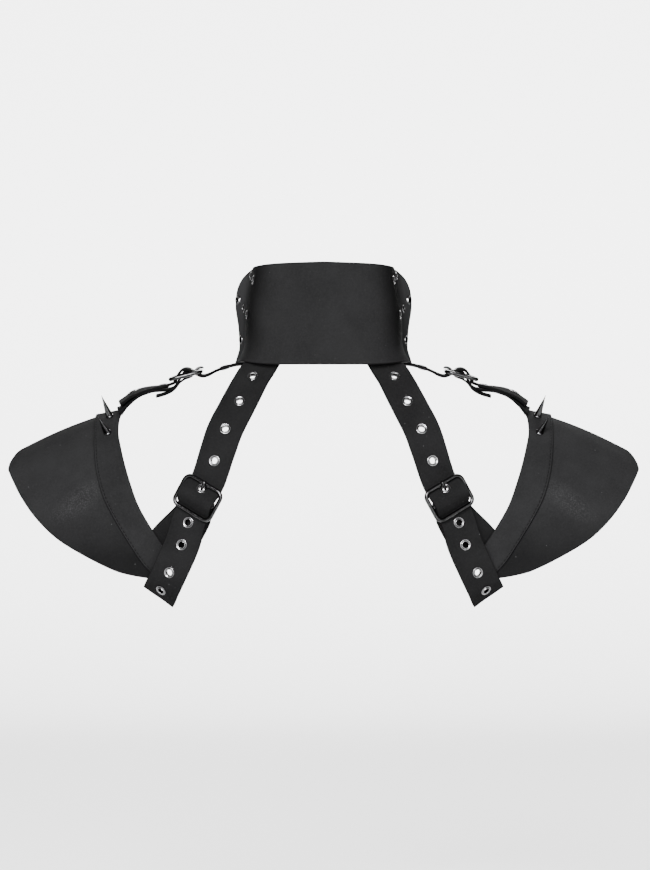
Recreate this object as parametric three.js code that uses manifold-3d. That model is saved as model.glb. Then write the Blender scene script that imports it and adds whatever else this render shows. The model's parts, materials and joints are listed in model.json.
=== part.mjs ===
// Gothic shoulder guard: a tall stand collar, two back straps and two shoulder straps with
// buckles and eyelets, and two arched shoulder caps with a sewn band and cone spikes.
// Millimetres. +X is the wearer's right, +Y the wearer's front, +Z is up.
// The origin is the middle of the neck base, on the line across the shoulders.
import * as THREE from "three";
import { mergeVertices } from "three/addons/utils/BufferGeometryUtils.js";
import Module from "manifold-3d";

const wasm = await Module();
wasm.setup();

// Collar
const collarHalfWidth = 76; // at the waist of the neck side
const collarDepth = 70; // from the back wall to the shoulder line
const collarHeight = 97;
const collarWall = 2.4;

// Shoulder caps
const capReach = 312; // middle of the neck to the outer corner of the hem
const capFall = 209; // shoulder line to the lowest corner of the hem
const capHalfDepth = 89; // shoulder line to the furthest part of the hem behind it
const capWall = 2;
const capBulge = 3; // how far the panel swells between seam and hem
const bandWall = 2.2;
const seamLap = 0.33; // share of the band's width that the panel runs on under it

// Straps
const strapWidth = 35;
const strapWall = 2.6;
const chapeWall = 2;
const layerGap = 0.3;

// Buckles
const buckleLength = 35; // outside, along the strap
const buckleSpan = 45.5; // outside, across the strap
const wireRadius = 2;
const barRadius = 1.5;
const prongRadius = 1.3;
const cornerRadius = 6;

// Eyelets and spikes
const eyeletRadius = 5.5;
const eyeletHole = 3;
const barrelRadius = 3.6;
const eyeletRim = 0.7;
const holeRadius = barrelRadius + 0.55;
const spikeLength = 23;
const spikeRadius = 4;
const shankRadius = 1.5;

const leather = { color: 0x1d1d1e, roughness: 0.62, metalness: 0 };
const dullLeather = { color: 0x19191a, roughness: 0.7, metalness: 0 };
const gunmetal = { color: 0x3c3c40, roughness: 0.25, metalness: 1 };
const nickel = { color: 0xb9b9bd, roughness: 0.25, metalness: 1 };

const vec = (x, y, z) => new THREE.Vector3(x, y, z);

// A smooth curve through the rows of a table, whose first column is the key.
function smooth(rows) {
  const last = rows.length - 1;
  const slope = (i, c) => {
    const a = rows[Math.max(i - 1, 0)];
    const b = rows[Math.min(i + 1, last)];
    return (b[c] - a[c]) / (b[0] - a[0]);
  };
  return (key) => {
    let i = 0;
    while (i < last - 1 && rows[i + 1][0] < key) i += 1;
    const step = rows[i + 1][0] - rows[i][0];
    const t = Math.min(Math.max((key - rows[i][0]) / step, 0), 1);
    return rows[0].slice(1).map((_, k) => {
      const c = k + 1;
      const a = rows[i][c];
      const b = rows[i + 1][c];
      const sa = slope(i, c) * step;
      const sb = slope(i + 1, c) * step;
      return a + t * (sa + t * (3 * (b - a) - 2 * sa - sb + t * (2 * (a - b) + sa + sb)));
    });
  };
}

const spread = (from, to, steps) =>
  Array.from({ length: steps + 1 }, (_, i) => from + ((to - from) * i) / steps);

function manifoldOf(geometry) {
  const bare = geometry.index ? geometry.toNonIndexed() : geometry.clone();
  bare.deleteAttribute("normal");
  bare.deleteAttribute("uv");
  const merged = mergeVertices(bare, 1e-4);
  return new wasm.Manifold(
    new wasm.Mesh({
      numProp: 3,
      vertProperties: new Float32Array(merged.attributes.position.array),
      triVerts: new Uint32Array(merged.index.array),
    }),
  );
}

function geometryOf(solid) {
  const mesh = solid.getMesh();
  const geometry = new THREE.BufferGeometry();
  geometry.setAttribute("position", new THREE.BufferAttribute(mesh.vertProperties, 3));
  geometry.setIndex(Array.from(mesh.triVerts));
  return geometry;
}

function closed(position, index) {
  const geometry = new THREE.BufferGeometry();
  geometry.setAttribute("position", new THREE.Float32BufferAttribute(position, 3));
  geometry.setIndex(index);
  if (manifoldOf(geometry).volume() < 0) geometry.setIndex(index.reverse());
  return geometry;
}

// A leather wall: the surface at(u, v) gives a point and its normal, and the wall lies
// between two distances along that normal.
function wall(at, us, vs, low, high) {
  const position = [];
  for (const level of [high, low])
    for (const u of us)
      for (const v of vs) {
        const { point, normal } = at(u, v);
        position.push(...point.clone().addScaledVector(normal, level).toArray());
      }
  const half = us.length * vs.length;
  const index = [];
  const quad = (a, b, c, d) => index.push(a, b, c, a, c, d);
  const edge = (a, b) => quad(b, a, a + half, b + half);
  for (let i = 0; i < us.length - 1; i += 1)
    for (let j = 0; j < vs.length - 1; j += 1) {
      const a = i * vs.length + j;
      const b = a + vs.length;
      quad(a, b, b + 1, a + 1);
      quad(a + half, a + 1 + half, b + 1 + half, b + half);
      if (i === 0) edge(a + 1, a);
      if (i === us.length - 2) edge(b, b + 1);
      if (j === 0) edge(a, b);
      if (j === vs.length - 2) edge(b + 1, a + 1);
    }
  return closed(position, index);
}

// The normal of a surface of points, from a step to each side; facing turns it round.
function withNormal(pointAt, facing) {
  const step = 0.004;
  return (u, v) => {
    const along = pointAt(u + step, v).sub(pointAt(u - step, v));
    const across = pointAt(u, v + step).sub(pointAt(u, v - step));
    return { point: pointAt(u, v), normal: along.cross(across).multiplyScalar(facing).normalize() };
  };
}

// Round wire along a list of points, each with a radius of its own.
function wire(points, radii, sides, loop) {
  const count = points.length;
  const position = [];
  const index = [];
  let side = null;
  points.forEach((point, i) => {
    const before = points[loop ? (i + count - 1) % count : Math.max(i - 1, 0)];
    const after = points[loop ? (i + 1) % count : Math.min(i + 1, count - 1)];
    const along = after.clone().sub(before).normalize();
    side = side || (Math.abs(along.y) < 0.9 ? vec(0, 1, 0) : vec(1, 0, 0));
    side = side.clone().addScaledVector(along, -side.dot(along)).normalize();
    const up = along.clone().cross(side);
    for (let k = 0; k < sides; k += 1) {
      const turn = (2 * Math.PI * (k + 0.5)) / sides;
      const p = point
        .clone()
        .addScaledVector(side, radii[i] * Math.cos(turn))
        .addScaledVector(up, radii[i] * Math.sin(turn));
      position.push(...p.toArray());
    }
  });
  const ring = (i, j) => {
    for (let k = 0; k < sides; k += 1) {
      const n = (k + 1) % sides;
      index.push(i * sides + k, i * sides + n, j * sides + n);
      index.push(i * sides + k, j * sides + n, j * sides + k);
    }
  };
  for (let i = 0; i < count - 1; i += 1) ring(i, i + 1);
  if (loop) ring(count - 1, 0);
  else
    for (let k = 1; k < sides - 1; k += 1) {
      index.push(0, k + 1, k);
      const end = (count - 1) * sides;
      index.push(end, end + k, end + k + 1);
    }
  return closed(position, index);
}

// A turned solid whose axis starts at a point and runs along a direction.
function turned(profile, sides, point, direction) {
  const geometry = new THREE.LatheGeometry(
    profile.map(([r, h]) => new THREE.Vector2(r, h)),
    sides,
  );
  const turn = new THREE.Quaternion().setFromUnitVectors(vec(0, 1, 0), direction);
  geometry.applyQuaternion(turn).translate(point.x, point.y, point.z);
  const solid = manifoldOf(geometry);
  const merged = geometryOf(solid);
  if (solid.volume() < 0) merged.setIndex(Array.from(merged.index.array).reverse());
  return merged;
}

function pierced(geometry, places, radius) {
  let solid = manifoldOf(geometry);
  for (const { point, normal } of places) {
    const drill = new THREE.CylinderGeometry(radius, radius, 12, 8);
    const turn = new THREE.Quaternion().setFromUnitVectors(vec(0, 1, 0), normal);
    drill.applyQuaternion(turn).translate(point.x, point.y, point.z);
    solid = solid.subtract(manifoldOf(drill));
  }
  return geometryOf(solid);
}

// A rolled ring that grips both faces of a leather wall of the given thickness.
function eyelet({ point, normal }, thickness, radius = eyeletRadius) {
  const face = thickness / 2 + eyeletStep - eyeletRim;
  const profile = [
    [eyeletHole, -face - eyeletRim],
    [radius - 0.5, -face],
    [barrelRadius, -face],
    [barrelRadius, face],
    [radius, face],
    [eyeletHole, face + eyeletRim],
    [eyeletHole, -face - eyeletRim],
  ];
  return turned(profile, 8, point, normal);
}

// Collar plan, from the middle of the back to the free end.
// share of the band | out / half width | forward / depth | how far it belongs to the free end
const collarPlan = smooth([
  [0.0, 0.0, -1.0, 0],
  [0.14, 0.28, -0.995, 0],
  [0.28, 0.56, -0.96, 0],
  [0.4, 0.77, -0.86, 0],
  [0.52, 0.91, -0.66, 0],
  [0.64, 0.985, -0.38, 0],
  [0.76, 1.0, -0.1, 0.02],
  [0.86, 1.02, 0.12, 0.3],
  [0.93, 1.05, 0.25, 0.7],
  [1.0, 1.09, 0.36, 1.0],
]);
// height / collar height | widening of the neck side | widening of the free end | of the depth
const collarFlare = smooth([
  [-0.03, 1.14, 1.06, 1.035],
  [0.06, 1.06, 1.03, 1.02],
  [0.15, 1.01, 1.0, 1.005],
  [0.25, 1.0, 1.0, 1.0],
  [0.4, 1.02, 1.015, 1.0],
  [0.55, 1.02, 1.045, 1.0],
  [0.7, 0.985, 1.055, 1.0],
  [0.84, 0.94, 1.05, 1.0],
  [1.0, 0.9, 1.04, 1.0],
]);
// share of the band | bottom edge / height | top edge / height
const collarEdges = smooth([
  [0.0, -0.028, 1.0],
  [0.3, -0.025, 0.986],
  [0.43, -0.012, 0.977],
  [0.53, 0.009, 0.97],
  [0.7, 0.02, 0.96],
  [0.8, 0.022, 0.952],
  [0.88, 0.022, 0.92],
  [0.94, 0.022, 0.845],
  [0.98, 0.022, 0.74],
  [1.0, 0.022, 0.58],
]);
const collarAt = withNormal((u, v) => {
  const share = Math.abs(u);
  const [out, forward, end] = collarPlan(share);
  const [bottom, top] = collarEdges(share);
  const height = bottom + (top - bottom) * v;
  const [side, tip, depth] = collarFlare(height);
  const width = out * (side + (tip - side) * end) * collarHalfWidth;
  return vec(
    Math.sign(u) * width,
    forward * collarDepth * (forward < 0 ? depth : 1),
    height * collarHeight,
  );
}, 1);

// share of the band | share of the height, for the eyelets on the wearer's right
const collarEyelets = [
  [0.955, 0.3],
  [0.955, 0.8],
  [0.62, 0.5],
  [0.58, 0.86],
];

// Cap, from the crown of the shoulder to the back corner: inner edge, seam and hem.
// arch | inner: out, back, down | seam: out, back, down | hem: out, back, down | front lean
// out / reach, back / half depth, down / fall
const capRows = smooth([
  [0.0, 0.633, 0.0, 0.226, 0.719, 0.0, 0.25, 1.0, 0.0, 0.437, 0.0],
  [0.125, 0.642, 0.19, 0.268, 0.721, 0.19, 0.282, 0.993, 0.236, 0.498, 0.008],
  [0.25, 0.643, 0.34, 0.333, 0.719, 0.37, 0.345, 0.969, 0.427, 0.566, 0.015],
  [0.375, 0.633, 0.485, 0.399, 0.715, 0.545, 0.425, 0.935, 0.64, 0.644, 0.022],
  [0.5, 0.618, 0.618, 0.48, 0.705, 0.697, 0.522, 0.887, 0.809, 0.731, 0.028],
  [0.625, 0.597, 0.742, 0.573, 0.683, 0.82, 0.628, 0.821, 0.944, 0.819, 0.034],
  [0.75, 0.57, 0.82, 0.675, 0.644, 0.888, 0.739, 0.731, 1.0, 0.899, 0.038],
  [0.875, 0.523, 0.82, 0.795, 0.593, 0.875, 0.863, 0.639, 0.945, 0.967, 0.04],
  [0.94, 0.495, 0.79, 0.858, 0.563, 0.85, 0.93, 0.588, 0.885, 0.989, 0.04],
  [1.0, 0.469, 0.76, 0.912, 0.53, 0.81, 0.983, 0.54, 0.82, 1.002, 0.04],
]);
// Across the cap, 0 is the inner edge, 1 the seam and 2 the hem.
const capAt = withNormal((u, v) => {
  const row = capRows(Math.min(Math.abs(u), 1));
  const lean = u > 0 ? row[9] : 0;
  const corner = (k) =>
    vec(
      (row[k] + lean) * capReach,
      Math.sign(u) * row[k + 1] * capHalfDepth,
      -row[k + 2] * capFall,
    );
  const seam = corner(3);
  if (v <= 1) return corner(0).lerp(seam, v);
  const hem = corner(6);
  const swell = capBulge * 4 * (v - 1) * (2 - v) * (1 - Math.abs(u) ** 3);
  return seam
    .lerp(hem, v - 1)
    .add(vec(0.55, Math.sign(u) * 0.7 * Math.min(1, 3 * Math.abs(u)), 0.45).multiplyScalar(swell));
}, -1);

// arch share | share across the band | lean outward
const spikePlaces = [
  [-0.09, 0.4, 0.2],
  [-0.245, 0.42, 0.36],
];

// A frame of reference on a buckle: a runs along the strap away from the collar, b across
// it, n away from the body.
function buckleFrame(origin, along, across) {
  const a = along.clone().normalize();
  const b = across.clone().addScaledVector(a, -across.dot(a)).normalize();
  const n = a.clone().cross(b);
  const at = (x, y, z) =>
    origin.clone().addScaledVector(a, x).addScaledVector(b, y).addScaledVector(n, z);
  return { a, b, n, at };
}

const strapLift = barRadius + chapeWall + strapWall / 2 + 2 * prongRadius - 1.4;
const eyeletStep = layerGap + 0.3 + eyeletRim; // how far an eyelet stands off its strap
const strapSink = wireRadius + layerGap + eyeletStep + strapWall / 2;
const barAt = buckleLength / 2 - wireRadius;
const prongHoleAt = 0.57 * barAt;
const wrapRadius = barRadius + layerGap + chapeWall / 2;
const upperSink = strapSink + strapWall / 2 + eyeletStep + layerGap + chapeWall / 2;
const lowerSink = upperSink + chapeWall + layerGap;

// The strap under, over and under the bars of its buckle: along | away from the body
const strapInBuckle = [
  [-barAt - 7, -strapSink - 0.2],
  [-barAt, -strapSink],
  [-0.56 * barAt, 0.1 * strapLift],
  [-0.24 * barAt, 0.82 * strapLift],
  [0, strapLift],
  [0.24 * barAt, 0.84 * strapLift],
  [0.56 * barAt, 0.06 * strapLift],
  [0.84 * barAt, -strapSink + 0.5],
  [barAt + 1, -strapSink - 0.1],
  [barAt + 8, -strapSink - 0.2],
];
// The chape from its sewn end, round the middle bar and back under the strap:
// along | away from the body | width / strap width
const chapeInBuckle = [
  [barAt + 18, -lowerSink - 0.9, 1.12],
  [barAt + 8.5, -lowerSink - 0.7, 1.12],
  [barAt, -lowerSink, 1.09],
  [0.58 * barAt, -lowerSink + 4],
  [0.28 * barAt, -wrapRadius - 1.6],
  ...[-90, -120, -150, -180, -210, -240, -270].map((turn) => [
    wrapRadius * Math.cos((turn * Math.PI) / 180),
    wrapRadius * Math.sin((turn * Math.PI) / 180),
  ]),
  [0.17 * barAt, 0.66 * wrapRadius],
  [0.32 * barAt, 0],
  [0.56 * barAt, -upperSink + 4],
  [barAt, -upperSink, 1.09],
  [barAt + 8.5, -upperSink - 0.9, 1.12],
];

const inBuckle = (frame, rows, drift = 0) =>
  rows.map(([a, n, width = 1]) => ({
    point: frame.at(a, a * drift, n),
    across: frame.b,
    half: (width * strapWidth) / 2,
  }));

// A flat strap along its stations: point, direction across, half width, and how far the
// edges sag below the middle.
function ribbon(stations) {
  let length = 0;
  const rows = stations.map(({ point, across, half, sag = 0 }, i) => {
    if (i) length += point.distanceTo(stations[i - 1].point);
    return [length, ...point.toArray(), ...across.toArray(), half, sag];
  });
  const line = smooth(rows);
  const at = (s, v) => {
    const row = line(s);
    const ahead = line(Math.min(s + 0.05, length));
    const behind = line(Math.max(s - 0.05, 0));
    const along = vec(...ahead).sub(vec(...behind)).normalize();
    const across = vec(row[3], row[4], row[5]);
    across.addScaledVector(along, -across.dot(along)).normalize();
    const out = along.clone().cross(across);
    const [half, sag] = row.slice(6);
    const point = vec(...row)
      .addScaledVector(across, v * half)
      .addScaledVector(out, -sag * v * v);
    return { point, normal: out.addScaledVector(across, (2 * sag * v) / half).normalize() };
  };
  const keys = rows.map((row) => row[0]);
  return { at, length, keys };
}

// Ribbon steps: each span between two stations is split into pieces no longer than a step.
const ribbonSteps = (keys, step) =>
  keys.flatMap((key, i) => {
    if (!i) return [key];
    const pieces = Math.max(1, Math.round((key - keys[i - 1]) / step));
    return spread(keys[i - 1], key, pieces).slice(1);
  });

const ribbonWall = (strap, thickness, step, shares = [-1, 0, 1]) =>
  wall(strap.at, ribbonSteps(strap.keys, step), shares, -thickness / 2, thickness / 2);

// Where the eyelets sit on a strap, counted from the hole that its prong goes through.
function eyeletPlaces(strap, frame, steps) {
  const hole = frame.at(-prongHoleAt, 0, 0);
  const gap = (s) => strap.at(s, 0).point.distanceTo(hole);
  const start = spread(0, strap.length, 400).reduce((a, b) => (gap(b) < gap(a) ? b : a));
  return steps.map((step) => strap.at(start + step * strapWidth, 0));
}

// The wire frame of a buckle with its middle bar.
function buckle(frame) {
  const x = barAt;
  const y = buckleSpan / 2 - wireRadius;
  const r = cornerRadius - wireRadius;
  const points = [];
  for (const [cx, cy, from] of [
    [x - r, y - r, 0],
    [-x + r, y - r, 90],
    [-x + r, -y + r, 180],
    [x - r, -y + r, 270],
  ])
    for (const turn of [0, 45, 90]) {
      const angle = ((from + turn) * Math.PI) / 180;
      points.push(frame.at(cx + r * Math.cos(angle), cy + r * Math.sin(angle), 0));
    }
  const ring = wire(points, points.map(() => wireRadius), 6, true);
  const bar = wire([frame.at(0, -y, 0), frame.at(0, y, 0)], [barRadius, barRadius], 6, false);
  return geometryOf(manifoldOf(ring).add(manifoldOf(bar)));
}

// The prong: curled round the middle bar, up through the strap and over the end bar.
function prong(frame) {
  const r = barRadius + layerGap + prongRadius;
  const curl = [150, 110, 70, 30, -10, -50, -90].map((turn) => [
    r * Math.cos((turn * Math.PI) / 180),
    r * Math.sin((turn * Math.PI) / 180),
  ]);
  const rise = wireRadius + layerGap + prongRadius;
  const path = [
    ...curl,
    [-0.3 * barAt, -r + 0.6],
    [-0.47 * barAt, -0.25 * r],
    [-0.57 * barAt, 0.3 * r],
    [-0.78 * barAt, 0.9 * rise],
    [-0.96 * barAt, rise + 0.15],
    [-1.1 * barAt, rise - 0.2],
    [-1.2 * barAt, rise - 1.3],
  ];
  const radii = path.map((_, i) => prongRadius * (i > path.length - 3 ? 0.8 : 1));
  return wire(path.map(([a, n]) => frame.at(a, 0, n)), radii, 5, false);
}

// The slot that lets the prong's curl through the chape.
function slotted(geometry, frame) {
  const half = prongRadius + 0.8;
  const corners = [];
  for (const n of [-6, 6])
    for (const b of [-half, half]) for (const a of [-6, 5.5]) corners.push(frame.at(a, b, n).toArray());
  return geometryOf(manifoldOf(geometry).subtract(wasm.Manifold.hull(corners)));
}

// Across a strap on the back, from how steeply it runs in the view from behind and how
// far its outer edge turns forward, in degrees.
const backAcross = (steep, turn) => {
  const a = (steep * Math.PI) / 180;
  const b = (turn * Math.PI) / 180;
  return vec(Math.sin(a) * Math.cos(b), Math.sin(b), Math.cos(a) * Math.cos(b));
};
// A place on the straps, from how far it lies out between the side of the neck and the cap's
// reach, and its shares of the cap's half depth and fall.
const spot = (out, back, down) =>
  vec(collarHalfWidth + out * (capReach - collarHalfWidth), -back * capHalfDepth, -down * capFall);
// Back strap: out | back | down | steepness | turn of its outer edge
const station = ([out, back, down, steep, turn]) => ({
  point: spot(out, back, down),
  across: backAcross(steep, turn),
  half: strapWidth / 2,
});
const backBuckle = buckleFrame(
  spot(0.188, 1.135, 0.627),
  vec(0.46, 0.1, -0.85),
  backAcross(53.5, 17),
);
const backTop = [
  [-0.123, 0.404, -0.096, 62, 39],
  [-0.097, 0.489, -0.043, 62, 39],
  [-0.067, 0.598, 0.012, 62, 37],
  [-0.031, 0.742, 0.072, 62.5, 28],
  [0.021, 0.91, 0.187, 63, 19],
  [0.075, 1.039, 0.313, 64, 14],
  [0.117, 1.103, 0.416, 64.5, 15],
].map(station);
const backTail = [
  [0.252, 1.039, 0.838, 67, 14],
  [0.301, 1.006, 0.963, 65, 15],
  [0.334, 0.91, 1.041, 65, 18],
  [0.354, 0.753, 1.086, 66, 20],
].map(station);
const backStrapLine = ribbon([
  ...backTop,
  ...inBuckle(backBuckle, strapInBuckle, -0.06),
  ...backTail,
]);
// Steps from the prong's hole to each eyelet, as shares of the strap's width.
const backEyelets = [-3.62, -2.74, -1.83, -0.9, 0, 1.17, 1.81, 2.65, 3.27];

const backChapeLine = ribbon([
  ...inBuckle(backBuckle, chapeInBuckle),
  ...[
    [0.322, 0.82, 0.83, 58, 10],
    [0.356, 0.674, 0.895, 57, 8],
  ].map(station),
]);

// Shoulder strap: out | down | roll of its back edge downward | sag / width | width / width
const overAcross = (roll) => vec(0, Math.cos((roll * Math.PI) / 180), Math.sin((roll * Math.PI) / 180));
const overStation = ([out, down, roll, sag, width = 1]) => ({
  point: spot(out, 0, down),
  across: overAcross(roll),
  half: (width * strapWidth) / 2,
  sag: sag * strapWidth,
});
const overBuckle = buckleFrame(spot(0.254, 0, 0.0545), vec(0.968, 0, -0.25), overAcross(3));
const overStrapLine = ribbon([
  ...[
    [-0.008, 0.002, 0, 0],
    [0.042, 0.005, 0, 0],
    [0.091, 0.019, 1, 0],
    [0.133, 0.037, 2, 0],
  ].map(overStation),
  ...inBuckle(overBuckle, strapInBuckle),
  ...[
    [0.406, 0.115, 6, 0.014],
    [0.447, 0.127, 8, 0.023],
    [0.485, 0.145, 10, 0.029],
    [0.511, 0.167, 11, 0.029],
    [0.534, 0.187, 12, 0.029],
  ].map(overStation),
]);
const overEyelets = [-0.92, 0, 1.12, 2.0];

const overChapeLine = ribbon([
  ...inBuckle(overBuckle, chapeInBuckle),
  ...[
    [0.39, 0.132, 5, 0.014],
    [0.428, 0.144, 6, 0.029],
    [0.462, 0.157, 7, 0.043],
    [0.492, 0.176, 6, 0.071],
    [0.515, 0.196, 3, 0.114, 1.02],
    [0.542, 0.211, 0, 0.214, 1.12],
  ].map(overStation),
]);

const root = new THREE.Group();
root.name = "shoulder_guard";

// One piece on each side: built on the wearer's right, mirrored for the left.
function pair(name, geometry, look) {
  for (const side of ["right", "left"]) {
    const own = geometry.clone();
    if (side === "left") {
      own.scale(-1, 1, 1);
      if (own.index) own.setIndex(Array.from(own.index.array).reverse());
    }
    const mesh = new THREE.Mesh(own, new THREE.MeshStandardMaterial(look));
    mesh.name = `${side}_${name}`;
    root.add(mesh);
  }
}

// Collar
const collarPlaces = collarEyelets.map(([u, v]) => collarAt(u, v));
const mirrorPlace = ({ point, normal }) => ({
  point: point.clone().setX(-point.x),
  normal: normal.clone().setX(-normal.x),
});
const halfShares = [0.12, 0.24, 0.34, 0.42, 0.5, 0.58, 0.66, 0.74, 0.81, 0.87, 0.91, 0.945, 0.97, 0.99, 1];
const collarShares = [...halfShares.map((u) => -u).reverse(), 0, ...halfShares];
const collar = new THREE.Mesh(
  pierced(
    wall(collarAt, collarShares, [0, 0.14, 0.4, 0.7, 1], -collarWall / 2, collarWall / 2),
    [...collarPlaces, ...collarPlaces.map(mirrorPlace)],
    holeRadius,
  ),
  new THREE.MeshStandardMaterial(leather),
);
collar.name = "collar";
root.add(collar);
collarPlaces.forEach((place, i) => {
  pair(`collar_eyelet_${i + 1}`, eyelet(place, collarWall + 1.7, eyeletRadius - 1), nickel);
});

// Caps
const arch = spread(-1, 1, 20);
const panel = wall(capAt, arch, [1 - seamLap, 1, 1.33, 1.67, 2], -capWall, 0);
pair("cap_panel", panel, leather);
const spikeSpots = spikePlaces.map(([u, v, lean]) => {
  const place = capAt(u, v);
  place.normal.add(vec(lean, 0, 0)).normalize();
  return place;
});
const band = wall(capAt, arch, [0, 0.5, 1], layerGap, layerGap + bandWall);
pair("cap_band", pierced(band, spikeSpots, shankRadius + 0.9), leather);
spikeSpots.forEach(({ point, normal }, i) => {
  const seat = layerGap + bandWall + layerGap + 1.2;
  const profile = [
    [0, -2.6],
    [3.2, -2.6],
    [3.2, -1.4],
    [shankRadius, -1.4],
    [shankRadius, seat],
    [spikeRadius, seat],
    [spikeRadius, seat + 1.2],
    [spikeRadius - 0.7, seat + 1.8],
    [0, seat + spikeLength],
  ];
  pair(`spike_${i + 1}`, turned(profile, 8, point, normal), nickel);
});

// Back straps
const backPlaces = eyeletPlaces(backStrapLine, backBuckle, backEyelets);
const trimTop = new THREE.BoxGeometry(200, 200, 40).translate(60, -60, 20 - 0.6);
const backStrap = geometryOf(
  manifoldOf(ribbonWall(backStrapLine, strapWall, 7, [-1, 1])).subtract(manifoldOf(trimTop)),
);
pair("back_strap", pierced(backStrap, backPlaces, holeRadius), leather);
backPlaces.forEach((place, i) => pair(`back_eyelet_${i + 1}`, eyelet(place, strapWall), nickel));
pair("back_chape", slotted(ribbonWall(backChapeLine, chapeWall, 14, [-1, 1]), backBuckle), dullLeather);
pair("back_buckle", buckle(backBuckle), gunmetal);
pair("back_prong", prong(backBuckle), gunmetal);

// Shoulder straps
const overPlaces = eyeletPlaces(overStrapLine, overBuckle, overEyelets);
const overStrap = pierced(ribbonWall(overStrapLine, strapWall, 14), overPlaces, holeRadius);
pair("shoulder_strap", overStrap, leather);
overPlaces.forEach((place, i) => pair(`shoulder_eyelet_${i + 1}`, eyelet(place, strapWall), nickel));
pair("shoulder_chape", slotted(ribbonWall(overChapeLine, chapeWall, 14), overBuckle), dullLeather);
pair("shoulder_buckle", buckle(overBuckle), gunmetal);
pair("shoulder_prong", prong(overBuckle), gunmetal);

export default root;
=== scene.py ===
import json
import math

import bmesh
import bpy
from mathutils import Matrix, Vector, noise

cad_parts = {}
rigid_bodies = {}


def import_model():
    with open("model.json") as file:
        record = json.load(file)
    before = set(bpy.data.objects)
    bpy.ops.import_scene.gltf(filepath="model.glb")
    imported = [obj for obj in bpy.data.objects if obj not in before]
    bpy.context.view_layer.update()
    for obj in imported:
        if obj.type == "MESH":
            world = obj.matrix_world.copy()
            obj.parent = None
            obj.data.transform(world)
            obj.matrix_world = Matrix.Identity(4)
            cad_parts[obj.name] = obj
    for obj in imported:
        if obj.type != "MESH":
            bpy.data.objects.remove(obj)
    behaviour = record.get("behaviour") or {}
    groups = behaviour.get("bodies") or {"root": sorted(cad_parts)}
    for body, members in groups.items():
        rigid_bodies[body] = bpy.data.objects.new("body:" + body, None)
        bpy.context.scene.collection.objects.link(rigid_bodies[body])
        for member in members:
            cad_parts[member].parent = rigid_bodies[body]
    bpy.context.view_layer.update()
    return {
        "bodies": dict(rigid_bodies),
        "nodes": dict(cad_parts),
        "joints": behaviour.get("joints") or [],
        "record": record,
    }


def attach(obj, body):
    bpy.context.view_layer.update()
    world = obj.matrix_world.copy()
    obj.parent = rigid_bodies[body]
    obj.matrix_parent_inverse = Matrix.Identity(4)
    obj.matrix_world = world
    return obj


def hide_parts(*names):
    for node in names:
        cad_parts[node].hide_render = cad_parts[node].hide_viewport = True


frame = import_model()
mm = 0.001
print("frame loaded:", len(frame["nodes"]), "nodes")


# Curves and surfaces

# A smooth curve through the rows of a table, whose first column is the key.
def smooth(rows):
    last = len(rows) - 1
    columns = range(1, len(rows[0]))

    def slopes(i):
        a, b = rows[max(i - 1, 0)], rows[min(i + 1, last)]
        return [(b[c] - a[c]) / (b[0] - a[0]) for c in columns]

    lean = [slopes(i) for i in range(last + 1)]

    def value(key):
        i = 0
        while i < last - 1 and rows[i + 1][0] < key:
            i += 1
        step = rows[i + 1][0] - rows[i][0]
        t = min(max((key - rows[i][0]) / step, 0), 1)
        found = []
        for c in columns:
            a, b = rows[i][c], rows[i + 1][c]
            sa, sb = lean[i][c - 1] * step, lean[i + 1][c - 1] * step
            bend = 3 * (b - a) - 2 * sa - sb + t * (2 * (a - b) + sa + sb)
            found.append(a + t * (sa + t * bend))
        return found

    return value


# Even steps from one value to another, with one more step close to each end for the rim.
def edged(start, end, count, rim):
    even = [start + (end - start) * i / count for i in range(count + 1)]
    return even[:1] + [start + rim] + even[1:-1] + [end - rim] + even[-1:]


# A surface of points with its normal, from a step to each side; facing turns it round.
def withNormal(pointAt, facing=1, step=0.004):
    def at(u, v):
        along = pointAt(u + step, v) - pointAt(u - step, v)
        across = pointAt(u, v + step) - pointAt(u, v - step)
        return pointAt(u, v), along.cross(across).normalized() * facing

    return at


# The same surface with soft, uneven dents of a given depth and size.
def dented(at, depth, size, seed):
    def moved(u, v):
        point, normal = at(u, v)
        return point + normal * depth * noise.noise(point / size + Vector((seed, seed, 0))), normal

    return moved


# Meshes

def meshFrom(name, vertices, faces, marks=None):
    mesh = bpy.data.meshes.new(name)
    mesh.from_pydata([v * mm for v in vertices], [], faces)
    if marks:
        mesh.attributes.new("rim", "FLOAT", "POINT").data.foreach_set("value", marks)
    shape = bmesh.new()
    shape.from_mesh(mesh)
    bmesh.ops.recalc_face_normals(shape, faces=shape.faces)
    if shape.calc_volume(signed=True) < 0:
        bmesh.ops.reverse_faces(shape, faces=shape.faces)
    shape.to_mesh(mesh)
    shape.free()
    mesh.shade_smooth()
    return mesh


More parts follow.
